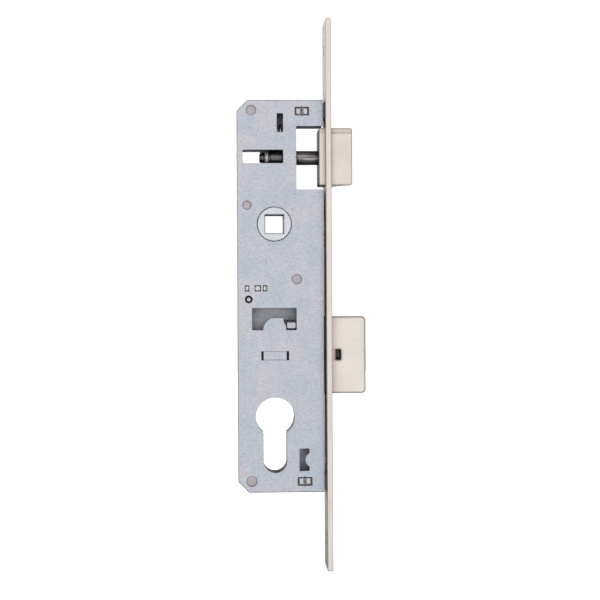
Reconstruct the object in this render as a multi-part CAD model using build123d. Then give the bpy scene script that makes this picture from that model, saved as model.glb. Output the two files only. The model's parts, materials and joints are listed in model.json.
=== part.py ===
from build123d import *
import os

# Mortise lock for a narrow door stile, in mm.
# Origin: spindle axis, on the middle plane of the case.  +X runs to the forend, +Y to the
# far side of the case, +Z up.

SLIVER = 0.1                # how far a cutting tool runs past the face that it cuts
RUN = 0.05                  # running clearance on a radius

# Case of folded sheet
CASE_LEFT = -16.4
CASE_RIGHT = 21.6
CASE_TOP = 54.6
CASE_BOTTOM = -118.2
CASE_Y = 6.0                # half of the case's thickness
SHEET = 1.2
CASE_CHAMFER = 4.8
FOLD_R = 0.45
INNER_Y = CASE_Y - SHEET
INNER_LEFT = CASE_LEFT + SHEET

# Forend
FOREND_BACK = 22.5
FOREND_T = 2.5
FOREND_FRONT = FOREND_BACK + FOREND_T
FOREND_Y = 11.0
FOREND_TOP = 89.7
FOREND_BOTTOM = -152.3
FOREND_EDGE_R = 0.35
FIXING_SPAN = 216.0         # door screws, centre to centre
FIXING_R = 2.65
FIXING_HEAD_R = 4.4
CYL_SCREW_Z = -104.4
CYL_SCREW_R = 2.65
CYL_SCREW_HEAD_R = 4.4

# Blocks that carry the forend, and the screws in them
BLOCK_HALF_Y = INNER_Y - 0.02
BLOCK_LEFT = 7.6
TOP_BLOCK_Z = (46.4, 53.2)
BOTTOM_BLOCK_Z = (-116.8, -110.0)
TOP_TAB_X = (9.2, 15.5)
TOP_TAB_Z = (47.8, 51.5)
BOTTOM_TAB_X = (9.8, 16.2)
BOTTOM_TAB_Z = (-115.3, -111.5)
TAB_END_GAP = 0.45
TAB_SIDE_GAP = 0.3
TAB_SUNK = 0.25
TAB_CORNER_R = 0.7
CHISEL_W = 0.4
CHISEL_DEEP = 0.9
CHISEL_OVER = 0.35
BLOCK_SCREW_R = 2.0
BLOCK_SCREW_HEAD_R = 3.7
BLOCK_SCREW_LONG = 12.0
RECESS_W = 0.9
RECESS_LONG = 4.4
RECESS_DEEP = 1.6

# Riveted pillars: x, z and head radius
PILLARS = {
    "pillar_top": (-10.0, 50.1, 2.3),
    "pillar_follower": (-12.0, 8.3, 2.0),
    "pillar_middle": (9.8, -24.3, 2.25),
    "pillar_bottom": (-10.4, -113.2, 2.4),
}
PILLAR_SHOULDER = 0.35

# Follower
HUB_R = 7.6
HUB_HOLE_R = HUB_R + 0.1
HUB_FACE_Y = 6.1
SQUARE = 8.0
FLANGE_R = 10.4
ARM_INNER_Y = 3.25
ARM_OUTER_Y = 4.7
ARM_RING_R = 10.8
ARM_REACH = 30.0
ARM_NOSE_R = 1.5
ARM_ROOT_HALF = 4.2
ARM_NECK = (22.5, 28.5)     # thin part below the nose, measured along the arm
ARM_NECK_LEFT = 0.3
ARM_NECK_RIGHT = 2.0
ARM_RIVET_R = 0.8
ARM_RIVET_RING = 9.0
ARM_RIVET_ANGLES = (210, 270, 330)

# Latch
LATCH_Z = 29.5
LATCH_HALF_Y = 7.75
LATCH_HALF_Z = 12.5
LATCH_BACK = 19.6
LATCH_TIP = LATCH_BACK + 14.7
LATCH_NOSE = 2.2            # flat left at the tip
LATCH_BEVEL_X = 26.1
LATCH_HOLLOW = (28.6, 0.4)  # x and y of a point on the hollow bevel
LATCH_CORNER_R = 0.8
LATCH_STRIP = 2.3           # rebated strip along the top edge
LATCH_STRIP_DEEP = 0.15
STEM_R = 3.15
STEM_END_R = 2.0
STEM_SHOULDER = 5.5
STEM_TAIL = -6.4
STEM_IN_HEAD = 4.0
YOKE_T = 1.5
YOKE_X = STEM_SHOULDER - YOKE_T
YOKE_HALF_Y = INNER_Y - 0.15
YOKE_Z = (26.0, 44.9)
YOKE_CORNER_R = 2.0
SLEEVE = (-1.5, YOKE_X, 3.3)        # x from, x to, radius
COLLAR = (-4.0, -2.2, 2.95)
RING = (-5.3, -4.4, 2.6)
WASHER = (-2.2, -1.5, 2.9)
SPRING_Z = 40.8
SPRING_ROD_R = 1.7
SPRING_ROD_END = 8.6
LATCH_COIL_R = 3.25
LATCH_WIRE_R = 0.45
LATCH_COILS = 8

# Openings in the sheet
WINDOW_LEFT = 9.8
WINDOW_Z = (15.2, 43.1)
TAIL_SLOT_X = (-13.8, 4.05)     # in the near sheet
FAR_SLOT_RIGHT = -5.9       # the far sheet's slot is shorter
TAIL_SLOT_Z = (26.8, 32.7)
LANCE_X = (1.25, 4.05)
LANCE_Z = (40.4, 48.7)
TAIL_HOLE_R = 2.8

# Cylinder hole, Euro profile
CYL_Z = -85.0
CYL_R = 8.575
CYL_STEM_W = 10.3
CYL_STEM_BOTTOM = CYL_Z - 24.6

# Deadbolt
BOLT_TRAVEL = 15.1
BOLT_Z = (-74.8, -40.8)
BOLT_HALF_Y = INNER_Y - 0.15
BOLT_BACK = 11.5
BOLT_TIP = FOREND_FRONT + BOLT_TRAVEL
BOLT_CORNER_R = 1.8
BOLT_EDGE_R = 0.3
GROOVE_Z = (-60.0, -55.4)
GROOVE_DEEP = 0.8
GROOVE_END = 22.0
GROOVE_FAINT = 0.12
POCKET_START = 26.9
POCKET_END = 29.2
POCKET_DEEP = 4.4
TAIL_Y = (0.2, 3.2)
TAIL_X = (0.4, 20.0)
TAIL_Z = (-73.6, -42.4)
CAM_NOTCH_X = (1.5, 8.8)
CAM_NOTCH_TOP = -69.2
BOLT_RIVETS = ((16.5, -47.5), (16.5, -67.5))
BOLT_RIVET_R = 1.5
GUIDE_PIN_X = 3.6
GUIDE_PIN_Z = (-49.5, -65.0)
GUIDE_PIN_R = 1.45
GUIDE_SHOULDER_R = 2.2
GUIDE_PIN_END_Y = -3.95

# Locking tumbler, carried on the deadbolt's tail
TUMBLER_LIFT = 4.7
TUMBLER_Y = (-3.6, -2.1)
TUMBLER_X = (0.6, 10.4)
TUMBLER_Z = (-72.6, -42.7)
STUMP_X = (5.4, 9.2)
STUMP_Z = (-45.9, -43.4)
STUMP_NEAR_Y = -4.72
STUMP_CORNER_R = 0.6
LUG_X = (6.6, 9.7)
LUG_Z = (-51.5, -50.0)
SPRING_WINDOW_X = (6.5, 9.8)
SPRING_WINDOW_Z = (-63.0, -49.6)
TUMBLER_SPRING_Y = -2.6
TUMBLER_COIL_R = 1.05
TUMBLER_WIRE_R = 0.25
TUMBLER_COILS = 8

# Arch window that the stump works in
ARCH_X = (-10.0, 9.6)
ARCH_Z = (-46.7, -36.9)
ARCH_CORNER_R = 0.35
HUMP_FOOT = -47.5
HUMP_SHOULDER = ((-5.1, -46.2), (-3.8, -43.1), (-1.3, -41.4))   # arc on the left
HUMP_RIGHT = ((3.6, -41.4), (4.1, -43.4), (5.0, -45.0), (5.0, HUMP_FOOT))

# Pressed-in bead, screw window, stop pin and spacer bar
BEAD_X = (-5.0, 5.2)
BEAD_Z = (-59.9, -56.0)
BEAD_DEEP = 0.6
SLIT_W = 1.0
SCREW_WINDOW_X = (10.6, 15.0)
SCREW_WINDOW_Z = (-108.8, -98.9)
SCREW_BUMP_R = 3.3
SCREW_BUMP_REACH = 13.2
STOP_PIN_X = -11.4
STOP_PIN_Z = -33.1
STOP_PIN_R = 0.85
STOP_HOLE_R = 1.7
STOP_PIN_SUNK = 0.8
BAR_X = (-13.6, -2.9)
BAR_Z = (-30.2, -26.3)
BAR_TABS_X = ((-13.1, -11.2), (-8.8, -6.0), (-5.2, -3.3))
BAR_TAB_Z = (-29.6, -26.9)
BAR_TAB_GAP = 0.2


def block(xs, ys, zs):
    """Box from three (low, high) pairs."""
    centre = Pos((xs[0] + xs[1]) / 2, (ys[0] + ys[1]) / 2, (zs[0] + zs[1]) / 2)
    return centre * Box(xs[1] - xs[0], ys[1] - ys[0], zs[1] - zs[0])


def rod_x(x0, x1, radius, z, y=0.0):
    """Round bar along X."""
    return Pos((x0 + x1) / 2, y, z) * Rot(0, 90, 0) * Cylinder(radius, x1 - x0)


def rod_y(x, z, radius, y0, y1):
    """Round bar along Y."""
    return Pos(x, (y0 + y1) / 2, z) * Rot(90, 0, 0) * Cylinder(radius, y1 - y0)


def prism(sketch, y0, y1):
    """Solid along Y from a sketch drawn in X and Z."""
    return extrude(Plane.XZ.offset(-y0) * sketch, amount=-(y1 - y0))


def rounded_rect(xs, zs, radius):
    """Rectangle in X and Z with round corners."""
    sketch = RectangleRounded(xs[1] - xs[0], zs[1] - zs[0], radius)
    return Pos((xs[0] + xs[1]) / 2, (zs[0] + zs[1]) / 2) * sketch


def polygon(points):
    """Face from corner points."""
    return make_face(Polyline(*points, close=True))


def case_outline(inset, right):
    """Case outline with its two chamfered back corners, moved in by inset."""
    left = CASE_LEFT + inset
    top = CASE_TOP - inset
    bottom = CASE_BOTTOM + inset
    leg = CASE_CHAMFER - inset * (2 - 2 ** 0.5)
    points = (
        (left + leg, top),
        (right, top),
        (right, bottom),
        (left + leg, bottom),
        (left, bottom + leg),
        (left, top - leg),
    )
    return polygon(points)


def euro_profile():
    """Cylinder hole: a circle with a round-ended stem below it."""
    end_r = CYL_STEM_W / 2
    stem_low = CYL_STEM_BOTTOM + end_r
    stem = Pos(0, (CYL_Z + stem_low) / 2) * Rectangle(CYL_STEM_W, CYL_Z - stem_low)
    return Pos(0, CYL_Z) * Circle(CYL_R) + stem + Pos(0, stem_low) * Circle(end_r)


def arch_window():
    """Window for the stump: two notches with a hump of sheet between them."""
    left = (HUMP_SHOULDER[0][0], HUMP_FOOT)
    outline = Line(left, HUMP_SHOULDER[0]) + ThreePointArc(*HUMP_SHOULDER)
    outline += Polyline(HUMP_SHOULDER[-1], *HUMP_RIGHT, left)
    return rounded_rect(ARCH_X, ARCH_Z, ARCH_CORNER_R) - make_face(outline)


def screw_window():
    """Window at the cylinder screw, with a half-round lip on its right side."""
    lip = Pos(SCREW_BUMP_REACH + SCREW_BUMP_R, CYL_SCREW_Z + 0.5) * Circle(SCREW_BUMP_R)
    return rounded_rect(SCREW_WINDOW_X, SCREW_WINDOW_Z, 0.4) - lip


def shared_cuts(tail_slot_x, y0, y1):
    """Openings that both sheets have, as solids from y0 to y1."""
    latch = rounded_rect((WINDOW_LEFT, CASE_RIGHT + 5), WINDOW_Z, 0.5)
    tail = rounded_rect(tail_slot_x, TAIL_SLOT_Z, 0.6)
    cuts = prism(latch, y0, y1) + prism(tail, y0, y1)
    cuts += prism(euro_profile(), y0, y1)
    cuts += rod_y(0, 0, HUB_HOLE_R, y0, y1)
    for x, z, radius in PILLARS.values():
        cuts += rod_y(x, z, radius, y0, y1)
    cuts += block(TOP_TAB_X, (y0, y1), TOP_TAB_Z)
    cuts += block(BOTTOM_TAB_X, (y0, y1), BOTTOM_TAB_Z)
    for tab in BAR_TABS_X:
        cuts += block(tab, (y0, y1), BAR_TAB_Z)
    return cuts


def chisel_marks(side):
    """Chisel strokes across the two staked tabs; side is -1 near or +1 far."""
    face = side * CASE_Y
    ys = sorted((face + side * SLIVER, face - side * CHISEL_DEEP))
    marks = None
    for tab_x, tab_z in ((TOP_TAB_X, TOP_TAB_Z), (BOTTOM_TAB_X, BOTTOM_TAB_Z)):
        middle = (tab_x[0] + tab_x[1]) / 2
        stroke_x = (middle - CHISEL_W / 2, middle + CHISEL_W / 2)
        stroke_z = (tab_z[0] - CHISEL_OVER, tab_z[1] + CHISEL_OVER)
        stroke = block(stroke_x, ys, stroke_z)
        marks = stroke if marks is None else marks + stroke
    return marks


def press_bead(sheet):
    """Press the guide bead into the near sheet, with a slit at each end of it."""
    for slit_x in (BEAD_X[0] - SLIT_W, BEAD_X[1]):
        sheet -= block((slit_x, slit_x + SLIT_W), (-CASE_Y - SLIVER, -INNER_Y + SLIVER), BEAD_Z)
    sheet -= block(BEAD_X, (-CASE_Y - SLIVER, -CASE_Y + BEAD_DEEP), BEAD_Z)
    return sheet + block(BEAD_X, (-INNER_Y, -INNER_Y + BEAD_DEEP), BEAD_Z)


def make_case_shell():
    """Near sheet with its top, back and bottom walls folded away from the viewer."""
    body = prism(case_outline(0, CASE_RIGHT), -CASE_Y, CASE_Y)
    face_edges = body.edges().filter_by_position(Axis.Y, -CASE_Y - SLIVER, -CASE_Y + SLIVER)
    folds = [edge for edge in face_edges if edge.center().X < CASE_RIGHT - SLIVER]
    body = fillet(folds, FOLD_R)
    body -= prism(case_outline(SHEET, CASE_RIGHT + 5), -INNER_Y, CASE_Y + SLIVER)
    near = (-CASE_Y - SLIVER, -INNER_Y + SLIVER)
    body -= shared_cuts(TAIL_SLOT_X, *near)
    body -= prism(rounded_rect(LANCE_X, LANCE_Z, 0.5), *near)
    body -= prism(arch_window(), *near)
    body -= prism(screw_window(), *near)
    body -= rod_y(STOP_PIN_X, STOP_PIN_Z, STOP_HOLE_R, *near)
    body -= rod_x(CASE_LEFT - SLIVER, INNER_LEFT + SLIVER, TAIL_HOLE_R, LATCH_Z)
    body -= rod_x(CASE_LEFT - SLIVER, INNER_LEFT + SLIVER, SPRING_ROD_R, SPRING_Z)
    body -= chisel_marks(-1)
    return press_bead(body)


def make_case_cover():
    """Far sheet, lying inside the folded walls."""
    far = (INNER_Y - SLIVER, CASE_Y + SLIVER)
    sheet = prism(case_outline(SHEET + RUN, CASE_RIGHT), INNER_Y, CASE_Y)
    sheet -= shared_cuts((TAIL_SLOT_X[0], FAR_SLOT_RIGHT), *far)
    sheet -= rod_y(STOP_PIN_X, STOP_PIN_Z, STOP_PIN_R, *far)
    return sheet - chisel_marks(1)


def countersink(z, hole_r, head_r):
    """Screw hole through the forend with a 90 degree countersink in its front."""
    deep = head_r - hole_r
    cone = Pos(FOREND_FRONT - deep / 2, 0, z) * Rot(0, 90, 0) * Cone(hole_r, head_r, deep)
    return rod_x(FOREND_BACK - SLIVER, FOREND_FRONT + SLIVER, hole_r, z) + cone


def fixing_heights():
    """Heights of the two door screws."""
    middle = (FOREND_TOP + FOREND_BOTTOM) / 2
    return (middle + FIXING_SPAN / 2, middle - FIXING_SPAN / 2)


def block_screw_heights():
    """Heights of the two screws that hold the forend to its blocks."""
    return (sum(TOP_BLOCK_Z) / 2, sum(BOTTOM_BLOCK_Z) / 2)


def make_forend():
    """Face plate with openings for the latch and the deadbolt."""
    plate = block((FOREND_BACK, FOREND_FRONT), (-FOREND_Y, FOREND_Y), (FOREND_BOTTOM, FOREND_TOP))
    plate = fillet(plate.edges(), FOREND_EDGE_R)
    through = (FOREND_BACK - SLIVER, FOREND_FRONT + SLIVER)
    latch_y = LATCH_HALF_Y + 0.25
    latch_z = LATCH_HALF_Z + 0.25
    plate -= block(through, (-latch_y, latch_y), (LATCH_Z - latch_z, LATCH_Z + latch_z))
    bolt_y = BOLT_HALF_Y + 0.1
    plate -= block(through, (-bolt_y, bolt_y), (BOLT_Z[0] - 0.2, BOLT_Z[1] + 0.2))
    for z in fixing_heights():
        plate -= countersink(z, FIXING_R, FIXING_HEAD_R)
    plate -= countersink(CYL_SCREW_Z, CYL_SCREW_R, CYL_SCREW_HEAD_R)
    for z in block_screw_heights():
        plate -= countersink(z, BLOCK_SCREW_R, BLOCK_SCREW_HEAD_R)
    return plate


def staking_tab(tab_x, tab_z, end_gap=TAB_END_GAP):
    """Tab that reaches through both sheets, a little short of their outer faces."""
    xs = (tab_x[0] + end_gap, tab_x[1] - end_gap)
    zs = (tab_z[0] + TAB_SIDE_GAP, tab_z[1] - TAB_SIDE_GAP)
    corner_r = min(TAB_CORNER_R, 0.4 * (xs[1] - xs[0]))
    return prism(rounded_rect(xs, zs, corner_r), -CASE_Y + TAB_SUNK, CASE_Y - TAB_SUNK)


def make_forend_block(block_z, tab_x, tab_z):
    """Block between the sheets, staked through both and drilled for a forend screw."""
    body = block((BLOCK_LEFT, FOREND_BACK), (-BLOCK_HALF_Y, BLOCK_HALF_Y), block_z)
    body += staking_tab(tab_x, tab_z)
    middle = sum(block_z) / 2
    end = FOREND_FRONT - BLOCK_SCREW_LONG - 1
    body -= rod_x(end, FOREND_BACK + SLIVER, BLOCK_SCREW_R, middle)
    return body - chisel_marks(-1) - chisel_marks(1)


def make_forend_screws():
    """Two countersunk screws with crossed recesses."""
    screws = []
    head_deep = BLOCK_SCREW_HEAD_R - BLOCK_SCREW_R
    for z in block_screw_heights():
        start = FOREND_FRONT - BLOCK_SCREW_LONG
        screw = rod_x(start, FOREND_FRONT - head_deep, BLOCK_SCREW_R, z)
        cone = Cone(BLOCK_SCREW_R, BLOCK_SCREW_HEAD_R, head_deep)
        screw += Pos(FOREND_FRONT - head_deep / 2, 0, z) * Rot(0, 90, 0) * cone
        recess_x = (FOREND_FRONT - RECESS_DEEP, FOREND_FRONT + SLIVER)
        wide = (-RECESS_LONG / 2, RECESS_LONG / 2)
        thin = (-RECESS_W / 2, RECESS_W / 2)
        screw -= block(recess_x, wide, (z + thin[0], z + thin[1]))
        screw -= block(recess_x, thin, (z + wide[0], z + wide[1]))
        screws.append(screw)
    return Compound(children=screws)


def make_pillar(x, z, radius):
    """Shouldered pillar riveted flush in both sheets."""
    return rod_y(x, z, radius, -CASE_Y, CASE_Y) + rod_y(x, z, radius + PILLAR_SHOULDER, -INNER_Y, INNER_Y)


def make_spacer_bar():
    """Flat bar between the sheets with three tabs staked through each."""
    bar = block(BAR_X, (-BLOCK_HALF_Y, BLOCK_HALF_Y), BAR_Z)
    for tab in BAR_TABS_X:
        bar += staking_tab(tab, BAR_TAB_Z, BAR_TAB_GAP)
    return bar


def make_stop_pin():
    """Pin riveted in the far sheet; its near end stands in the round hole."""
    return rod_y(STOP_PIN_X, STOP_PIN_Z, STOP_PIN_R, -CASE_Y + STOP_PIN_SUNK, CASE_Y)


def make_spring_rod():
    """Rod in the back wall that the latch spring and the yoke run on."""
    rod = rod_x(CASE_LEFT, SPRING_ROD_END, SPRING_ROD_R, SPRING_Z)
    tip = rod.edges().sort_by(Axis.X)[-1]
    return chamfer(tip, 0.4)


def arm_rivet_places():
    """X and Z of the rivets that join the arms to the hub."""
    return [
        Vector(ARM_RIVET_RING, 0).rotate(Axis.Z, angle)
        for angle in ARM_RIVET_ANGLES
    ]


def make_follower_hub():
    """Round hub with a square hole, and a flange between the two arms."""
    hub = rod_y(0, 0, HUB_R, -HUB_FACE_Y, HUB_FACE_Y)
    hub += rod_y(0, 0, FLANGE_R, -ARM_INNER_Y, ARM_INNER_Y)
    half = SQUARE / 2
    hub -= block((-half, half), (-HUB_FACE_Y - 1, HUB_FACE_Y + 1), (-half, half))
    for place in arm_rivet_places():
        hub -= rod_y(place.X, place.Y, ARM_RIVET_R, -ARM_INNER_Y - 1, ARM_INNER_Y + 1)
    return hub


def arm_sketch():
    """Ring with an arm that leans to the latch yoke."""
    nose_x = STEM_SHOULDER + RUN + ARM_NOSE_R
    nose_z = (ARM_REACH ** 2 - nose_x ** 2) ** 0.5
    direction = Vector(nose_x, nose_z).normalized()
    across = Vector(-direction.Y, direction.X)
    tip = direction * ARM_REACH
    shank = (
        across * ARM_ROOT_HALF + direction * HUB_R,
        across * ARM_NECK_LEFT + direction * ARM_NECK[0],
        across * ARM_NECK_LEFT + direction * ARM_NECK[1],
        tip,
        across * -ARM_NOSE_R + tip,
        across * -ARM_NECK_RIGHT + direction * ARM_NECK[0],
        across * -ARM_ROOT_HALF + direction * HUB_R,
    )
    outline = Circle(ARM_RING_R) + polygon([(point.X, point.Y) for point in shank])
    outline += Pos(tip.X, tip.Y) * Circle(ARM_NOSE_R)
    outline -= Circle(HUB_R)
    for place in arm_rivet_places():
        outline -= Pos(place.X, place.Y) * Circle(ARM_RIVET_R)
    return outline


def make_follower_arm(side):
    """One stamped arm; side is -1 near or +1 far."""
    ys = sorted((side * ARM_INNER_Y, side * ARM_OUTER_Y))
    return prism(arm_sketch(), *ys)


def make_arm_rivets():
    """Three rivets through the flange and both arms."""
    return Compound(children=[
        rod_y(place.X, place.Y, ARM_RIVET_R, -ARM_OUTER_Y, ARM_OUTER_Y)
        for place in arm_rivet_places()
    ])


def make_latch_head():
    """Bevelled latch head: flat on the near side, hollow bevel on the far side."""
    nose = (LATCH_TIP, -LATCH_HALF_Y + LATCH_NOSE)
    bevel = (LATCH_BEVEL_X, LATCH_HALF_Y)
    back = (LATCH_BACK, LATCH_HALF_Y)
    outline = ThreePointArc(nose, LATCH_HOLLOW, bevel)
    outline += Polyline(bevel, back, (LATCH_BACK, -LATCH_HALF_Y), (LATCH_TIP, -LATCH_HALF_Y), nose)
    low = LATCH_Z - LATCH_HALF_Z
    high = LATCH_Z + LATCH_HALF_Z
    head = extrude(Plane.XY.offset(low) * make_face(outline), amount=high - low)
    corners = head.faces().sort_by(Axis.X)[0].edges().filter_by(Axis.Y)
    corners += head.faces().sort_by(Axis.X)[-1].edges().filter_by(Axis.Y)
    head = fillet(corners, LATCH_CORNER_R)
    rebate_x = (FOREND_FRONT, LATCH_TIP + SLIVER)
    rebate_y = (-LATCH_HALF_Y - SLIVER, -LATCH_HALF_Y + LATCH_STRIP_DEEP)
    head -= block(rebate_x, rebate_y, (high - LATCH_STRIP, high + SLIVER))
    return head - rod_x(LATCH_BACK - SLIVER, LATCH_BACK + STEM_IN_HEAD, STEM_R, LATCH_Z)


def make_latch_stem():
    """Round stem with a thinner tail."""
    stem = rod_x(STEM_SHOULDER, LATCH_BACK + STEM_IN_HEAD, STEM_R, LATCH_Z)
    tail = rod_x(STEM_TAIL, STEM_SHOULDER, STEM_END_R, LATCH_Z)
    tail = chamfer(tail.edges().sort_by(Axis.X)[0], 0.4)
    return stem + tail


def make_stem_yoke():
    """Plate that the arms push and the spring presses on."""
    outline = RectangleRounded(2 * YOKE_HALF_Y, YOKE_Z[1] - YOKE_Z[0], YOKE_CORNER_R)
    plane = Plane(origin=(YOKE_X, 0, sum(YOKE_Z) / 2), x_dir=(0, 1, 0), z_dir=(1, 0, 0))
    plate = extrude(plane * outline, amount=YOKE_T)
    plate -= rod_x(YOKE_X - 1, STEM_SHOULDER + 1, STEM_END_R, LATCH_Z)
    return plate - rod_x(YOKE_X - 1, STEM_SHOULDER + 1, SPRING_ROD_R + RUN, SPRING_Z)


def make_stem_tube(x0, x1, radius, edge):
    """Ring on the stem's tail with broken outer edges."""
    tube = rod_x(x0, x1, radius, LATCH_Z)
    tube = chamfer(tube.edges().filter_by(GeomType.CIRCLE), edge)
    return tube - rod_x(x0 - 1, x1 + 1, STEM_END_R, LATCH_Z)


def make_coil(length, coil_r, wire_r, coils):
    """Compression spring along +Z from the origin."""
    height = length - 2 * wire_r
    path = Pos(0, 0, wire_r) * Helix(pitch=height / coils, height=height, radius=coil_r)
    start = Plane(origin=path @ 0, z_dir=path % 0)
    return sweep(start * Circle(wire_r), path=path)


def make_latch_spring():
    """Compression spring between the back wall and the yoke."""
    coil = make_coil(YOKE_X - INNER_LEFT, LATCH_COIL_R, LATCH_WIRE_R, LATCH_COILS)
    return Pos(INNER_LEFT, 0, SPRING_Z) * Rot(0, 90, 0) * coil


def make_bolt_head():
    """Deadbolt head with a guide groove on each side and a slot for its tail."""
    head = block((BOLT_BACK, BOLT_TIP), (-BOLT_HALF_Y, BOLT_HALF_Y), BOLT_Z)
    nose = head.faces().sort_by(Axis.X)[-1]
    corners = nose.edges().filter_by(Axis.Y)
    head = fillet(corners, BOLT_CORNER_R)
    rims = head.faces().sort_by(Axis.X)[-1].edges().filter_by(Axis.Z)
    head = fillet(rims, BOLT_EDGE_R)
    for side in (-1, 1):
        face = side * (BOLT_HALF_Y + SLIVER)
        groove = sorted((face, side * (BOLT_HALF_Y - GROOVE_DEEP)))
        faint = sorted((face, side * (BOLT_HALF_Y - GROOVE_FAINT)))
        deep = sorted((face, side * (BOLT_HALF_Y - POCKET_DEEP)))
        head -= block((BOLT_BACK - SLIVER, GROOVE_END), groove, GROOVE_Z)
        head -= block((GROOVE_END, POCKET_START), faint, GROOVE_Z)
        head -= block((POCKET_START, POCKET_END), deep, GROOVE_Z)
    head -= block((BOLT_BACK - SLIVER, TAIL_X[1]), TAIL_Y, (BOLT_Z[0] - 1, BOLT_Z[1] + 1))
    for x, z in BOLT_RIVETS:
        head -= rod_y(x, z, BOLT_RIVET_R, -BOLT_HALF_Y - 1, BOLT_HALF_Y + 1)
    return head


def make_bolt_tail():
    """Plate with the cam notch, two guide pins and the spring lug."""
    tail = block(TAIL_X, TAIL_Y, TAIL_Z)
    tail -= block(CAM_NOTCH_X, (TAIL_Y[0] - 1, TAIL_Y[1] + 1), (TAIL_Z[0] - 1, CAM_NOTCH_TOP))
    for z in GUIDE_PIN_Z:
        tail += rod_y(GUIDE_PIN_X, z, GUIDE_SHOULDER_R, TUMBLER_Y[1] + RUN, TAIL_Y[0])
        tail += rod_y(GUIDE_PIN_X, z, GUIDE_PIN_R, GUIDE_PIN_END_Y, TUMBLER_Y[1] + RUN)
    tail += block(LUG_X, (GUIDE_PIN_END_Y, TAIL_Y[0]), LUG_Z)
    for x, z in BOLT_RIVETS:
        tail -= rod_y(x, z, BOLT_RIVET_R, TAIL_Y[0] - 1, TAIL_Y[1] + 1)
    return tail


def make_bolt_rivets():
    """Two rivets through the bolt head and its tail."""
    return Compound(children=[
        rod_y(x, z, BOLT_RIVET_R, -BOLT_HALF_Y, BOLT_HALF_Y) for x, z in BOLT_RIVETS
    ])


def make_tumbler():
    """Locking plate that slides up and down on the guide pins."""
    outline = rounded_rect(TUMBLER_X, TUMBLER_Z, 1.0)
    slot_half = GUIDE_PIN_R + RUN
    for z in GUIDE_PIN_Z:
        slot_z = (z - slot_half - TUMBLER_LIFT, z + slot_half)
        slot_x = (GUIDE_PIN_X - slot_half, GUIDE_PIN_X + slot_half)
        outline -= rounded_rect(slot_x, slot_z, slot_half * 0.99)
    outline -= rounded_rect(SPRING_WINDOW_X, SPRING_WINDOW_Z, 0.3)
    plate = prism(outline, *TUMBLER_Y)
    notch_z = (TUMBLER_Z[0] - 1, CAM_NOTCH_TOP - 1.2)
    return plate - block(CAM_NOTCH_X, (TUMBLER_Y[0] - 1, TUMBLER_Y[1] + 1), notch_z)


def make_stump():
    """Stump on the tumbler, seen in the arch window."""
    return prism(rounded_rect(STUMP_X, STUMP_Z, STUMP_CORNER_R), STUMP_NEAR_Y, TUMBLER_Y[0])


def make_tumbler_spring():
    """Compression spring between the tail's lug and the foot of the tumbler's window."""
    length = LUG_Z[0] - SPRING_WINDOW_Z[0]
    coil = make_coil(length, TUMBLER_COIL_R, TUMBLER_WIRE_R, TUMBLER_COILS)
    return Pos(sum(SPRING_WINDOW_X) / 2, TUMBLER_SPRING_Y, SPRING_WINDOW_Z[0]) * coil


def make_parts():
    """Every sub-part by name."""
    parts = {
        "case_shell": make_case_shell(),
        "case_cover": make_case_cover(),
        "forend": make_forend(),
        "forend_block_top": make_forend_block(TOP_BLOCK_Z, TOP_TAB_X, TOP_TAB_Z),
        "forend_block_bottom": make_forend_block(BOTTOM_BLOCK_Z, BOTTOM_TAB_X, BOTTOM_TAB_Z),
        "forend_screws": make_forend_screws(),
        "spacer_bar": make_spacer_bar(),
        "stop_pin": make_stop_pin(),
        "spring_rod": make_spring_rod(),
        "follower_hub": make_follower_hub(),
        "follower_arm_near": make_follower_arm(-1),
        "follower_arm_far": make_follower_arm(1),
        "arm_rivets": make_arm_rivets(),
        "latch_head": make_latch_head(),
        "latch_stem": make_latch_stem(),
        "stem_yoke": make_stem_yoke(),
        "stem_sleeve": make_stem_tube(*SLEEVE, 0.2),
        "stem_washer": make_stem_tube(*WASHER, 0.05),
        "stem_collar": make_stem_tube(*COLLAR, 0.5),
        "retaining_ring": make_stem_tube(*RING, 0.25),
        "latch_spring": make_latch_spring(),
        "bolt_head": make_bolt_head(),
        "bolt_tail": make_bolt_tail(),
        "bolt_rivets": make_bolt_rivets(),
        "tumbler": make_tumbler(),
        "tumbler_stump": make_stump(),
        "tumbler_spring": make_tumbler_spring(),
    }
    for name, (x, z, radius) in PILLARS.items():
        parts[name] = make_pillar(x, z, radius)
    return parts


os.makedirs("parts", exist_ok=True)
for part_name, solid in make_parts().items():
    solid.label = part_name
    export_step(solid, f"parts/{part_name}.step")
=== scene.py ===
import json
import math

import bmesh
import bpy
from mathutils import Matrix, Vector


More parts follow.
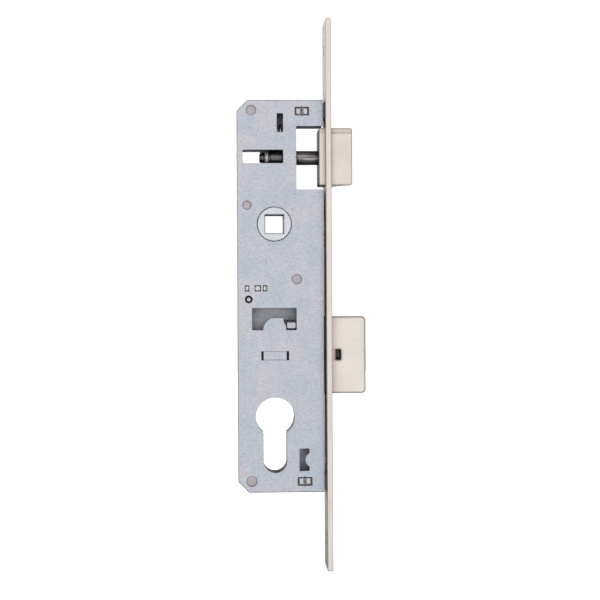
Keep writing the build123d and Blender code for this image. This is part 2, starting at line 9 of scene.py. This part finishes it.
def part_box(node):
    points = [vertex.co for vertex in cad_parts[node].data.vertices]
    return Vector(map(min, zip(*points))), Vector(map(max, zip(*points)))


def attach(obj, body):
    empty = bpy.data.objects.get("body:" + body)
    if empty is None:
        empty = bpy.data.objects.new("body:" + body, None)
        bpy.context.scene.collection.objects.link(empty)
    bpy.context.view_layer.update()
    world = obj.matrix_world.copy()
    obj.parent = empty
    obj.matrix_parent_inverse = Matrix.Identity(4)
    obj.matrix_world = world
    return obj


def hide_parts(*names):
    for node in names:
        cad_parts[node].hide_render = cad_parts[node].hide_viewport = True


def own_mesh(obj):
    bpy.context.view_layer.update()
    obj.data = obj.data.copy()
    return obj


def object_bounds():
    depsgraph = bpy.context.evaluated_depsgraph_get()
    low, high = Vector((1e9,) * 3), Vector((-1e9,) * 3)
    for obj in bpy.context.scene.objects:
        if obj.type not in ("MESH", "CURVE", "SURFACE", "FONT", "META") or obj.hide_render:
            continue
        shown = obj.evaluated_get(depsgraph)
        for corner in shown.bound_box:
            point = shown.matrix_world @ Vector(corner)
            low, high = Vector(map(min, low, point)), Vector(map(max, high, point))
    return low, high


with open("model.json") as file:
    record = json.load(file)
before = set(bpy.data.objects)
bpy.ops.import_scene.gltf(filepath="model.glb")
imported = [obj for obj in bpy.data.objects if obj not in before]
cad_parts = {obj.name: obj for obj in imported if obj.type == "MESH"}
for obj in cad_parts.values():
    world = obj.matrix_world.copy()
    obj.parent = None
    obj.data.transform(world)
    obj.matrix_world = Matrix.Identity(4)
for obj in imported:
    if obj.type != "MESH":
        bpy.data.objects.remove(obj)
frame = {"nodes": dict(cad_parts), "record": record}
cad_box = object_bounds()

MM = 0.001

# Camera, at the photograph's viewing angle
CAMERA_AIM = Vector((11.4, 0, -33.5)) * MM
CAMERA_DISTANCE = 675.3 * MM
CAMERA_YAW = math.radians(-2.588)
CAMERA_RISE = math.radians(0.286)
CAMERA_ROLL = math.radians(-0.288)
CAMERA_LENS = 91.22
SENSOR = 36.0

# Studio: a round white room with six soft panels around the lock, in metres
ROOM_R = 2.6
ROOM_HOLE_R = 0.02
ROOM_TOP = 2.6
SWEEP_R = 0.6
SWEEP_STEPS = 16
FLOOR_DROP = 0.2 * MM
ROOM_GLOW = 0.85
WORLD_STRENGTH = 0.12
# name: place, size, radiance
PANELS = {
    "front_panel": ((-0.1, -1.5, 0.05), 2.2, 1.14),
    "left_panel": ((-1.6, 0.2, 0.2), 1.1, 0.8),
    "right_panel": ((1.6, -0.1, 0.3), 1.3, 0.9),
    "rear_left_panel": ((-0.95, 1.2, 0.3), 1.3, 1.25),
    "rear_right_panel": ((0.75, 1.35, 0.1), 1.4, 1.5),
    "top_panel": ((0.2, 0.1, 1.6), 1.2, 0.6),
}

# Sizes shared with the CAD model, in mm
PILLAR_SHOULDER = 0.35
SHEET = 1.2
LATCH_WIRE = 0.45
TUMBLER_WIRE = 0.25

# Details that only the visual model has, in mm
LATCH_TURNS = 9
TUMBLER_TURNS = 10
# Reach of the painted shade in gaps
GAP_REACH = 14
# Painted shade: a darker strip along the latch head's top, its width and tone
LATCH_STRIP = 2.3
LATCH_STRIP_SHADE = 0.84
BAND_BLUR = 0.1
# Painted shade on the latch head's back face, on the deadbolt inside the case and on the stem behind
# the yoke: tone, reach past the edge, and the stem's share of worn streaks kept there
PAINTED_SHADE_TONE = 0.12
PAINTED_SHADE_SKIN = 0.3
STEM_PAINTED_SHADE = 0.35
LOBE_RISE = 0.45
LOBE_SPLIT = 0.75
WELD_REACH = 0.002
RELIEF_DEPTH = 0.03
SOFT_EDGE = 0.1
SOFT_EDGES = {
    "latch_head": 0.35,
    "bolt_head": 0.15,
    "follower_hub": 0.3,
}
# Peened head: distance in from its end, and its radius as a share of the head's, less an inset
HEAD_CURVE = (
    (0.0, 0.35, 0.0),
    (0.04, 0.7, 0.0),
    (0.12, 1.0, 0.3),
    (0.2, 1.0, 0.12),
    (0.22, 1.0, 0.0),
)
PILLARS = ("pillar_top", "pillar_follower", "pillar_middle", "pillar_bottom")
# Large flat pieces keep their CAD edges, as a bevel leaves shading lines across them
PLAIN_EDGED = ("forend", "case_shell", "case_cover")
# Where the tabs of the two blocks stand in the sheets: x and z ranges
TAB_PLACES = {
    "forend_block_top": ((9.65, 15.05), (48.1, 51.2)),
    "forend_block_bottom": ((10.25, 15.75), (-115.0, -111.8)),
}

# How finely the round pieces are built, and the angle from which an edge stays sharp
LATHE_SIDES = 64
WIRE_SIDES = 12
COIL_STEPS = 28
LOBE_SIDES = 48
LOBE_STEPS = 10
LATHE_SHARP = 35
ROUND_SHARP = 60
BEVEL_ANGLE = 40
# Powers below 1 that square off a lobe's footprint and keep its sides steep
LOBE_SQUARING = 0.5
LOBE_STEEPNESS = 0.6

# Noise of the metals, in features per metre
CLOUDS = (110, 110, 110)
FINE = (1500, 1500, 1500)
SPOTS = (430, 430, 430)
# Where an effect starts and is complete, on the value that drives it
EDGE_SPAN = (0.93, 0.99)
GAP_SPAN = (0.12, 0.7)
WARM_SPAN = (0.4, 0.62)
SPECK_SPAN = (0.68, 0.78)
STREAK_SPAN = (0.36, 0.58)
STEM_GAP_SPAN = (0.08, 0.7)
ROUGH_JITTER = 0.04
RELIEF_STRENGTH = 0.3
STREAK_RELIEF = 0.35
GRAIN_SHARE = 0.6
FINE_SHARE = 0.4


def srgb(red, green, blue):
    """Linear colour from 0-255 screen values."""
    values = []
    for value in (red, green, blue):
        part = value / 255
        values.append(part / 12.92 if part <= 0.04045 else ((part + 0.055) / 1.055) ** 2.4)
    return (*values, 1.0)


SHEET_COLOUR = srgb(189, 195, 205)
SHEET_WARM = srgb(198, 197, 206)
FOREND_COLOUR = srgb(220, 212, 204)
LATCH_COLOUR = srgb(223, 212, 203)
BOLT_COLOUR = srgb(227, 218, 210)
HUB_COLOUR = srgb(212, 215, 222)
RIVET_COLOUR = srgb(186, 180, 184)
BLOCK_COLOUR = srgb(206, 202, 203)
STAMPED_COLOUR = srgb(101, 103, 107)
BRIGHT_COLOUR = srgb(226, 226, 232)
WIRE_COLOUR = srgb(222, 222, 226)
ZINC_COLOUR = srgb(205, 205, 208)
BLACK_COLOUR = srgb(34, 33, 35)
RUBBED_COLOUR = srgb(200, 194, 197)
SPECK_COLOUR = srgb(112, 104, 106)


# ---------------------------------------------------------------- materials


class Shader:
    """One material's node tree, with short calls for the nodes used here."""

    def __init__(self, name):
        self.material = bpy.data.materials.new(name)
        self.material.use_nodes = True
        self.tree = self.material.node_tree
        self.bsdf = self.tree.nodes["Principled BSDF"]
        self.place = self.tree.nodes.new("ShaderNodeTexCoord").outputs["Object"]

    def link(self, source, socket):
        """Join a socket to an input, or set the input to a plain value."""
        if isinstance(source, (int, float, tuple)):
            socket.default_value = source
        else:
            self.tree.links.new(source, socket)

    def noise(self, scale, detail=4.0):
        """Noise with its own scale on each axis, in features per metre."""
        mapping = self.tree.nodes.new("ShaderNodeMapping")
        mapping.inputs["Scale"].default_value = scale
        self.link(self.place, mapping.inputs["Vector"])
        node = self.tree.nodes.new("ShaderNodeTexNoise")
        node.inputs["Scale"].default_value = 1.0
        node.inputs["Detail"].default_value = detail
        self.link(mapping.outputs["Vector"], node.inputs["Vector"])
        return node.outputs["Fac"]

    def along(self, axis):
        """Distance from the origin along X, Y or Z, in metres."""
        node = self.tree.nodes.new("ShaderNodeSeparateXYZ")
        self.link(self.place, node.inputs["Vector"])
        return node.outputs[axis]

    def ranged(self, value, low, high, start=0.3, end=0.7):
        """Value spread from start-end to low-high, held at its ends."""
        node = self.tree.nodes.new("ShaderNodeMapRange")
        node.clamp = True
        self.link(value, node.inputs["Value"])
        node.inputs["From Min"].default_value = start
        node.inputs["From Max"].default_value = end
        node.inputs["To Min"].default_value = low
        node.inputs["To Max"].default_value = high
        return node.outputs["Result"]

    def math(self, operation, first, second):
        """Math node; each input is a socket or a number."""
        node = self.tree.nodes.new("ShaderNodeMath")
        node.operation = operation
        self.link(first, node.inputs[0])
        self.link(second, node.inputs[1])
        return node.outputs["Value"]

    def mixed(self, factor, first, second, blend="MIX"):
        """Blend of two colours; each input is a socket or a plain value."""
        node = self.tree.nodes.new("ShaderNodeMix")
        node.data_type = "RGBA"
        node.blend_type = blend
        self.link(factor, node.inputs["Factor"])
        self.link(first, node.inputs["A"])
        self.link(second, node.inputs["B"])
        return node.outputs["Result"]

    def edges(self, radius):
        """1 on convex edges within radius, 0 on flats."""
        bevel = self.tree.nodes.new("ShaderNodeBevel")
        bevel.samples = 4
        bevel.inputs["Radius"].default_value = radius
        flat = self.tree.nodes.new("ShaderNodeNewGeometry").outputs["True Normal"]
        dot = self.tree.nodes.new("ShaderNodeVectorMath")
        dot.operation = "DOT_PRODUCT"
        self.link(bevel.outputs["Normal"], dot.inputs[0])
        self.link(flat, dot.inputs[1])
        return self.ranged(dot.outputs["Value"], 1.0, 0.0, *EDGE_SPAN)

    def crevice(self, distance):
        """1 in the open, 0 deep in a gap."""
        node = self.tree.nodes.new("ShaderNodeAmbientOcclusion")
        node.samples = 6
        node.inputs["Distance"].default_value = distance
        return node.outputs["AO"]

    def bump(self, height, strength):
        """Relief from a height socket."""
        node = self.tree.nodes.new("ShaderNodeBump")
        node.inputs["Strength"].default_value = strength
        node.inputs["Distance"].default_value = RELIEF_DEPTH * MM
        self.link(height, node.inputs["Height"])
        self.link(node.outputs["Normal"], self.bsdf.inputs["Normal"])


class Finish:
    """How a metal's surface varies."""

    def __init__(self, rough, grain, mottle, edge, gap_shade, edge_width=0.3, metallic=1.0):
        self.rough = rough              # lowest and highest roughness
        self.grain = grain              # grain features per metre on each axis
        self.mottle = mottle            # share by which the tone varies
        self.edge = edge                # tone of a convex edge: painted shade below 1, painted highlight above 1
        self.gap_shade = gap_shade                # share of tone taken off deep in a gap, as painted shade
        self.edge_width = edge_width    # width of that edge, in mm
        self.metallic = metallic        # 1 for clean metal, less for a dull skin


def metal(name, colour, finish, warm=None, specks=0.0, bands=()):
    """Worked metal: grain, soft mottle, painted shade on its edges (a painted highlight where the edge
    tone is above 1), painted shade in the gaps, and fine pits.

    bands holds (axis, place, tone before it, tone after it) of painted shade, with places in metres.
    """
    shader = Shader(name)
    grain = shader.noise(finish.grain, detail=3.0)
    clouds = shader.noise(CLOUDS, detail=5.0)
    fine = shader.noise(FINE, detail=3.0)
    spots = shader.noise(SPOTS, detail=2.0)
    spread = finish.mottle
    tone = shader.math("MULTIPLY", shader.ranged(clouds, 1 - spread, 1 + spread),
                       shader.ranged(grain, 1 - spread, 1 + spread))
    tone = shader.math("MULTIPLY", tone, shader.ranged(fine, 1 - spread, 1 + spread))
    # Painted shade along convex edges, a painted highlight where the edge tone is above 1
    edge = shader.edges(finish.edge_width * MM)
    tone = shader.math("MULTIPLY", tone, shader.ranged(edge, 1.0, finish.edge, 0.0, 1.0))
    # Painted shade deep in gaps, from ambient occlusion
    gap = shader.ranged(shader.crevice(GAP_REACH * MM), 1 - finish.gap_shade, 1.0, *GAP_SPAN)
    tone = shader.math("MULTIPLY", tone, gap)
    # Painted shade bands along one axis
    for axis, place, before, after in bands:
        start = place - BAND_BLUR * MM
        end = place + BAND_BLUR * MM
        band = shader.ranged(shader.along(axis), before, after, start, end)
        tone = shader.math("MULTIPLY", tone, band)
    if warm is not None:
        colour = shader.mixed(shader.ranged(clouds, 0.0, 1.0, *WARM_SPAN), colour, warm)
    if specks:
        speckled = shader.ranged(spots, 0.0, specks, *SPECK_SPAN)
        colour = shader.mixed(speckled, colour, SPECK_COLOUR)
    shader.link(shader.mixed(1.0, colour, tone, "MULTIPLY"), shader.bsdf.inputs["Base Color"])
    shader.bsdf.inputs["Metallic"].default_value = finish.metallic
    shine = shader.math("ADD", shader.ranged(clouds, *finish.rough),
                        shader.ranged(fine, -ROUGH_JITTER, ROUGH_JITTER))
    shader.link(shine, shader.bsdf.inputs["Roughness"])
    height = shader.math("ADD", shader.math("MULTIPLY", grain, GRAIN_SHARE),
                         shader.math("MULTIPLY", fine, FINE_SHARE))
    shader.bump(height, RELIEF_STRENGTH)
    return shader.material


def case_sheet():
    """Zinc-plated sheet with warm clouds and small stains, painted shade along its cut edges and in
    its gaps.
    """
    finish = Finish((0.4, 0.5), (700, 700, 1300), mottle=0.1, edge=0.38, edge_width=0.2, gap_shade=0.74)
    return metal("case_sheet", SHEET_COLOUR, finish, warm=SHEET_WARM, specks=0.3)


def forend_steel():
    """Nickelled plate brushed along its length."""
    finish = Finish((0.36, 0.46), (2200, 2200, 60), mottle=0.03, edge=0.8, edge_width=0.25, gap_shade=0.9)
    return metal("forend_steel", FOREND_COLOUR, finish)


def latch_nickel():
    """Sintered latch head with a painted shade strip along its top, and painted shade on its back face
    and along its edges.
    """
    finish = Finish((0.38, 0.48), (900, 900, 900), mottle=0.03, edge=0.25, edge_width=1.0, gap_shade=0.92)
    low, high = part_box("latch_head")
    # Painted shade on the back face, and a painted shade strip along the top
    shade_band = ("X", low.x + PAINTED_SHADE_SKIN * MM, PAINTED_SHADE_TONE, 1.0)
    top_shade = ("Z", high.z - LATCH_STRIP * MM, 1.0, LATCH_STRIP_SHADE)
    return metal("latch_nickel", LATCH_COLOUR, finish, bands=(shade_band, top_shade))


def bolt_nickel():
    """Deadbolt brushed across its height, with painted shade where it stays in the case and dark
    painted shade along its edges.
    """
    finish = Finish((0.38, 0.48), (160, 160, 1900), mottle=0.025, edge=0.05, edge_width=1.6, gap_shade=0.97)
    # Painted shade on the part of the bolt inside the case
    shade_band = ("X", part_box("forend")[0].x + PAINTED_SHADE_SKIN * MM, 2 * PAINTED_SHADE_TONE, 1.0)
    return metal("bolt_nickel", BOLT_COLOUR, finish, bands=(shade_band,))


def hub_zinc():
    """Die-cast follower with painted shade round its rim."""
    finish = Finish((0.4, 0.5), (1100, 1100, 1100), mottle=0.03, edge=0.05, edge_width=0.8, gap_shade=1.0)
    return metal("hub_zinc", HUB_COLOUR, finish)


def rivet_steel():
    """Peened pillar ends."""
    finish = Finish((0.4, 0.55), (1100, 1100, 1100), mottle=0.07, edge=0.8, edge_width=0.3, gap_shade=0.5)
    return metal("rivet_steel", RIVET_COLOUR, finish)


def block_steel():
    """Staked blocks and the spacer bar, with dark painted shade along their edges."""
    finish = Finish((0.35, 0.5), (900, 900, 900), mottle=0.1, edge=0.1, edge_width=0.6, gap_shade=1.0)
    return metal("block_steel", BLOCK_COLOUR, finish, specks=0.5)


def screw_zinc():
    """Zinc-plated screws with turned rings and a painted highlight along their edges."""
    finish = Finish((0.28, 0.4), (1500, 1500, 1500), mottle=0.05, edge=1.1, edge_width=0.2, gap_shade=0.7)
    return metal("screw_zinc", ZINC_COLOUR, finish)


def bright_steel():
    """Turned collars and rods."""
    finish = Finish((0.52, 0.62), (3000, 300, 300), mottle=0.05, edge=0.7, edge_width=0.25, gap_shade=0.3,
                    metallic=0.5)
    return metal("bright_steel", BRIGHT_COLOUR, finish)


def spring_steel():
    """Drawn spring wire."""
    finish = Finish((0.28, 0.4), (1800, 1800, 1800), mottle=0.06, edge=1.0, gap_shade=0.25)
    return metal("spring_steel", WIRE_COLOUR, finish)


def stamped_steel():
    """Stamped plates inside the case."""
    finish = Finish((0.4, 0.55), (200, 200, 1800), mottle=0.06, edge=0.8, gap_shade=0.85)
    return metal("stamped_steel", STAMPED_COLOUR, finish, specks=0.4)


def dark_steel():
    """Blackened steel drawn lengthwise, with worn bright streaks in front of the yoke, painted shade
    over them behind it, and painted shade in the gaps.
    """
    shader = Shader("dark_steel")
    streaks = shader.noise((70, 1500, 1500))
    specks = shader.noise((900, 900, 900), detail=3.0)
    inner_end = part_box("stem_yoke")[0].x
    # Painted shade on the stem behind the yoke, inside the case
    shade_band = shader.ranged(shader.along("X"), STEM_PAINTED_SHADE, 1.0, inner_end - BAND_BLUR * MM, inner_end)
    wear_and_shade = shader.math("MULTIPLY", shader.ranged(streaks, 0.15, 1.0, *STREAK_SPAN), shade_band)
    colour = shader.mixed(wear_and_shade, BLACK_COLOUR, RUBBED_COLOUR)
    # Painted shade deep in gaps, from ambient occlusion
    tone = shader.math("MULTIPLY", shader.ranged(specks, 0.85, 1.1),
                       shader.ranged(shader.crevice(GAP_REACH * MM), 0.5, 1.0, *STEM_GAP_SPAN))
    shader.link(shader.mixed(1.0, colour, tone, "MULTIPLY"), shader.bsdf.inputs["Base Color"])
    shader.bsdf.inputs["Metallic"].default_value = 0.95
    shader.link(shader.ranged(streaks, 0.26, 0.42), shader.bsdf.inputs["Roughness"])
    shader.bump(streaks, STREAK_RELIEF)
    return shader.material


def studio_paper():
    """White room that glows a little, so that it stays pale behind the object."""
    shader = Shader("studio_paper")
    clouds = shader.noise((6, 6, 6), detail=2.0)
    paper = shader.mixed(1.0, (0.9, 0.9, 0.9, 1.0), shader.ranged(clouds, 0.98, 1.0), "MULTIPLY")
    shader.link(paper, shader.bsdf.inputs["Base Color"])
    shader.bsdf.inputs["Roughness"].default_value = 0.9
    shader.bsdf.inputs["Specular IOR Level"].default_value = 0.1
    shader.bsdf.inputs["Emission Color"].default_value = (1.0, 1.0, 1.0, 1.0)
    shader.bsdf.inputs["Emission Strength"].default_value = ROOM_GLOW
    return shader.material


def make_materials():
    """Materials by record slot."""
    makers = (case_sheet, forend_steel, latch_nickel, bolt_nickel, hub_zinc, rivet_steel,
              block_steel, screw_zinc, bright_steel, spring_steel, stamped_steel, dark_steel)
    return {maker.__name__: maker() for maker in makers}


# ---------------------------------------------------------------- mesh tools


def finish_mesh(name, mesh, sharp_degrees):
    """Object from a bmesh, shaded smooth with sharp edges kept."""
    bmesh.ops.recalc_face_normals(mesh, faces=mesh.faces)
    data = bpy.data.meshes.new(name)
    mesh.to_mesh(data)
    mesh.free()
    for polygon in data.polygons:
        polygon.use_smooth = True
    data.set_sharp_from_angle(angle=math.radians(sharp_degrees))
    piece = bpy.data.objects.new(name, data)
    bpy.context.scene.collection.objects.link(piece)
    return piece


def skin(mesh, rings):
    """Faces between rings of vertices, each ring closed on itself, with both ends capped."""
    for lower, upper in zip(rings, rings[1:]):
        for step in range(len(lower)):
            after = (step + 1) % len(lower)
            mesh.faces.new((lower[step], lower[after], upper[after], upper[step]))
    mesh.faces.new(list(reversed(rings[0])))
    mesh.faces.new(rings[-1])


def lathe(name, profile, start, direction):
    """Turned piece. profile is (distance along, radius) pairs in metres from start."""
    mesh = bmesh.new()
    turn = Vector((0, 0, 1)).rotation_difference(Vector(direction)).to_matrix()
    rings = []
    for along, radius in profile:
        ring = []
        for step in range(LATHE_SIDES):
            angle = 2 * math.pi * step / LATHE_SIDES
            point = Vector((radius * math.cos(angle), radius * math.sin(angle), along))
            ring.append(mesh.verts.new(turn @ point + Vector(start)))
        rings.append(ring)
    skin(mesh, rings)
    return finish_mesh(name, mesh, LATHE_SHARP)


def tube(name, points, radius):
    """Round wire through points, with capped ends."""
    mesh = bmesh.new()
    rings = []
    side = (points[1] - points[0]).orthogonal().normalized()
    for index, point in enumerate(points):
        before = points[max(index - 1, 0)]
        after = points[min(index + 1, len(points) - 1)]
        tangent = (after - before).normalized()
        side = (side - tangent * side.dot(tangent)).normalized()
        across = tangent.cross(side)
        rings.append([
            mesh.verts.new(point + radius * (math.cos(a) * side + math.sin(a) * across))
            for a in (2 * math.pi * step / WIRE_SIDES for step in range(WIRE_SIDES))
        ])
    skin(mesh, rings)
    return finish_mesh(name, mesh, ROUND_SHARP)


def squared(value):
    """Sine or cosine pushed outwards, so that a circle turns into a round-cornered square."""
    return math.copysign(abs(value) ** LOBE_SQUARING, value)


def pillow(name, xs, zs, base_y, rise):
    """Bulged lobe on a round-cornered footprint; rise is signed along Y."""
    mesh = bmesh.new()
    middle = Vector(((xs[0] + xs[1]) / 2, base_y, (zs[0] + zs[1]) / 2))
    half_x = (xs[1] - xs[0]) / 2
    half_z = (zs[1] - zs[0]) / 2
    rings = []
    for level in range(LOBE_STEPS):
        lift = math.pi / 2 * level / LOBE_STEPS
        shrink = math.cos(lift) ** LOBE_STEEPNESS
        ring = []
        for step in range(LOBE_SIDES):
            angle = 2 * math.pi * step / LOBE_SIDES
            along = squared(math.cos(angle))
            up = squared(math.sin(angle))
            offset = Vector((half_x * along * shrink, rise * math.sin(lift), half_z * up * shrink))
            ring.append(mesh.verts.new(middle + offset))
        rings.append(ring)
    skin(mesh, rings)
    return finish_mesh(name, mesh, ROUND_SHARP)


def soften_edges(piece, width):
    """Join the split corners, then round every sharp edge a little."""
    weld = piece.modifiers.new("weld", "WELD")
    weld.merge_threshold = WELD_REACH * MM
    bevel = piece.modifiers.new("bevel", "BEVEL")
    bevel.width = width
    bevel.segments = 2
    bevel.limit_method = "ANGLE"
    bevel.angle_limit = math.radians(BEVEL_ANGLE)
    bevel.use_clamp_overlap = True
    bevel.harden_normals = True


def coil_points(low, high, axis, wire, turns):
    """Centre line of a compression spring with closed end turns, filling the box low-high."""
    length = high[axis] - low[axis] - 2 * wire
    middle = (low + high) / 2
    across = [index for index in range(3) if index != axis]
    radius = (high[across[0]] - low[across[0]]) / 2 - wire
    closed_rise = 2 * wire
    pitch = (length - 2 * closed_rise) / (turns - 2)
    points = []
    for step in range(turns * COIL_STEPS + 1):
        turn = step / COIL_STEPS
        if turn < 1:
            rise = turn * closed_rise
        elif turn > turns - 1:
            rise = length - (turns - turn) * closed_rise
        else:
            rise = closed_rise + (turn - 1) * pitch
        angle = 2 * math.pi * turn
        point = Vector((0, 0, 0))
        point[axis] = low[axis] + wire + rise
        point[across[0]] = middle[across[0]] + radius * math.cos(angle)
        point[across[1]] = middle[across[1]] + radius * math.sin(angle)
        points.append(point)
    return points


# ---------------------------------------------------------------- pieces


def make_pillar(node):
    """Pillar with peened, slightly crowned heads set in a fine groove."""
    low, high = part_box(node)
    shoulder = (high.x - low.x) / 2 / MM
    head = shoulder - PILLAR_SHOULDER
    length = (high.y - low.y) / MM
    end = [(along, share * head - inset) for along, share, inset in HEAD_CURVE]
    end += [(SHEET, head), (SHEET, shoulder)]
    profile = end + [(length - along, radius) for along, radius in reversed(end)]
    scaled = [(along * MM, radius * MM) for along, radius in profile]
    centre = (low + high) / 2
    piece = lathe("crowned_" + node, scaled, (centre.x, low.y, centre.z), (0, 1, 0))
    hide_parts(node)
    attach(piece, "case")
    return piece


def make_spring(node, body, axis, turns, wire, low, high):
    """Coil in place of a spring node, on its own copy of the mesh, attached to its body."""
    piece = tube(node + "_coil", coil_points(low, high, axis, wire, turns), wire)
    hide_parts(node)
    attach(piece, body)
    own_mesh(piece)
    return piece


def make_latch_spring():
    """Coil between the back wall and the yoke."""
    low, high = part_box("latch_spring")
    low.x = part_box("case_shell")[0].x + SHEET * MM
    high.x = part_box("stem_yoke")[0].x
    return make_spring("latch_spring", "case", 0, LATCH_TURNS, LATCH_WIRE * MM,
                       low, high)


def make_tumbler_spring():
    """Coil between the lug of the tail and the foot of the tumbler's window."""
    low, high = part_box("tumbler_spring")
    return make_spring("tumbler_spring", "deadbolt", 2, TUMBLER_TURNS, TUMBLER_WIRE * MM,
                       low, high)


def make_lobes(materials):
    """Metal upset on both sides of each chisel stroke, on both faces of the case."""
    case_low, case_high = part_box("case_shell")
    for node, (tab_x, tab_z) in TAB_PLACES.items():
        middle = sum(tab_x) / 2
        halves = ((tab_x[0], middle - LOBE_SPLIT / 2), (middle + LOBE_SPLIT / 2, tab_x[1]))
        for side, face_y in ((1, case_low.y), (-1, case_high.y)):
            for index, half in enumerate(halves):
                xs = [x * MM for x in half]
                zs = [z * MM for z in tab_z]
                base_y = face_y + side * LOBE_RISE * MM
                lobe = pillow(f"{node}_lobe_{side}_{index}", xs, zs, base_y, -side * LOBE_RISE * MM)
                lobe.data.materials.append(materials["block_steel"])
                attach(lobe, "case")


def dress_nodes(materials):
    """Give every CAD node its slot's material, and softened edges to all but the plain-edged ones."""
    for sub in frame["record"]["subparts"]:
        node = frame["nodes"][sub["node"]]
        node.data.materials.clear()
        node.data.materials.append(materials[sub["material_slot"]])
        if sub["node"] not in PLAIN_EDGED:
            soften_edges(node, SOFT_EDGES.get(sub["node"], SOFT_EDGE) * MM)


def make_pieces(materials):
    """Pieces that stand for CAD nodes, each with its slot."""
    slots = {sub["node"]: sub["material_slot"] for sub in frame["record"]["subparts"]}
    pieces = {node: make_pillar(node) for node in PILLARS}
    pieces["latch_spring"] = make_latch_spring()
    pieces["tumbler_spring"] = make_tumbler_spring()
    for node, piece in pieces.items():
        piece.data.materials.append(materials[slots[node]])
    make_lobes(materials)


# ---------------------------------------------------------------- studio


def make_studio(floor_z):
    """Floor that sweeps up into a round wall, as one sheet."""
    profile = [(floor_z, ROOM_HOLE_R), (floor_z, ROOM_R - SWEEP_R)]
    for step in range(1, SWEEP_STEPS + 1):
        angle = math.pi / 2 * step / SWEEP_STEPS
        rise = SWEEP_R * (1 - math.cos(angle))
        profile.append((floor_z + rise, ROOM_R - SWEEP_R + SWEEP_R * math.sin(angle)))
    profile.append((ROOM_TOP, ROOM_R))
    profile.append((ROOM_TOP, ROOM_HOLE_R))
    room = lathe("studio_room", profile, (0, 0, 0), (0, 0, 1))
    room.data.materials.append(studio_paper())
    room.visible_glossy = False
    room.visible_diffuse = False
    room.visible_shadow = False


def make_lights():
    """Dim surround and the soft panels, each turned towards the camera's aim."""
    world = bpy.data.worlds.new("studio_world")
    world.use_nodes = True
    background = world.node_tree.nodes["Background"]
    background.inputs["Color"].default_value = (1.0, 1.0, 1.0, 1.0)
    background.inputs["Strength"].default_value = WORLD_STRENGTH
    bpy.context.scene.world = world
    for name, (place, size, radiance) in PANELS.items():
        data = bpy.data.lights.new(name, "AREA")
        data.shape = "SQUARE"
        data.size = size
        data.energy = radiance * math.pi * size ** 2
        light = bpy.data.objects.new(name, data)
        light.location = place
        light.rotation_euler = (CAMERA_AIM - Vector(place)).to_track_quat("-Z", "Y").to_euler()
        light.visible_camera = False
        bpy.context.scene.collection.objects.link(light)


def make_camera():
    """Camera that looks at CAMERA_AIM from the photograph's direction."""
    data = bpy.data.cameras.new("camera")
    data.lens = CAMERA_LENS
    data.sensor_width = SENSOR
    camera = bpy.data.objects.new("camera", data)
    back = Vector((
        math.sin(CAMERA_YAW) * math.cos(CAMERA_RISE),
        -math.cos(CAMERA_YAW) * math.cos(CAMERA_RISE),
        math.sin(CAMERA_RISE),
    ))
    camera.location = CAMERA_AIM + back * CAMERA_DISTANCE
    turn = back.to_track_quat("Z", "Y").to_matrix() @ Matrix.Rotation(CAMERA_ROLL, 3, "Z")
    camera.rotation_euler = turn.to_euler()
    bpy.context.scene.collection.objects.link(camera)
    bpy.context.scene.camera = camera


bpy.context.scene.view_settings.view_transform = "Standard"
materials = make_materials()
dress_nodes(materials)
make_pieces(materials)
make_studio(cad_box[0][2] - FLOOR_DROP)
make_lights()
make_camera()
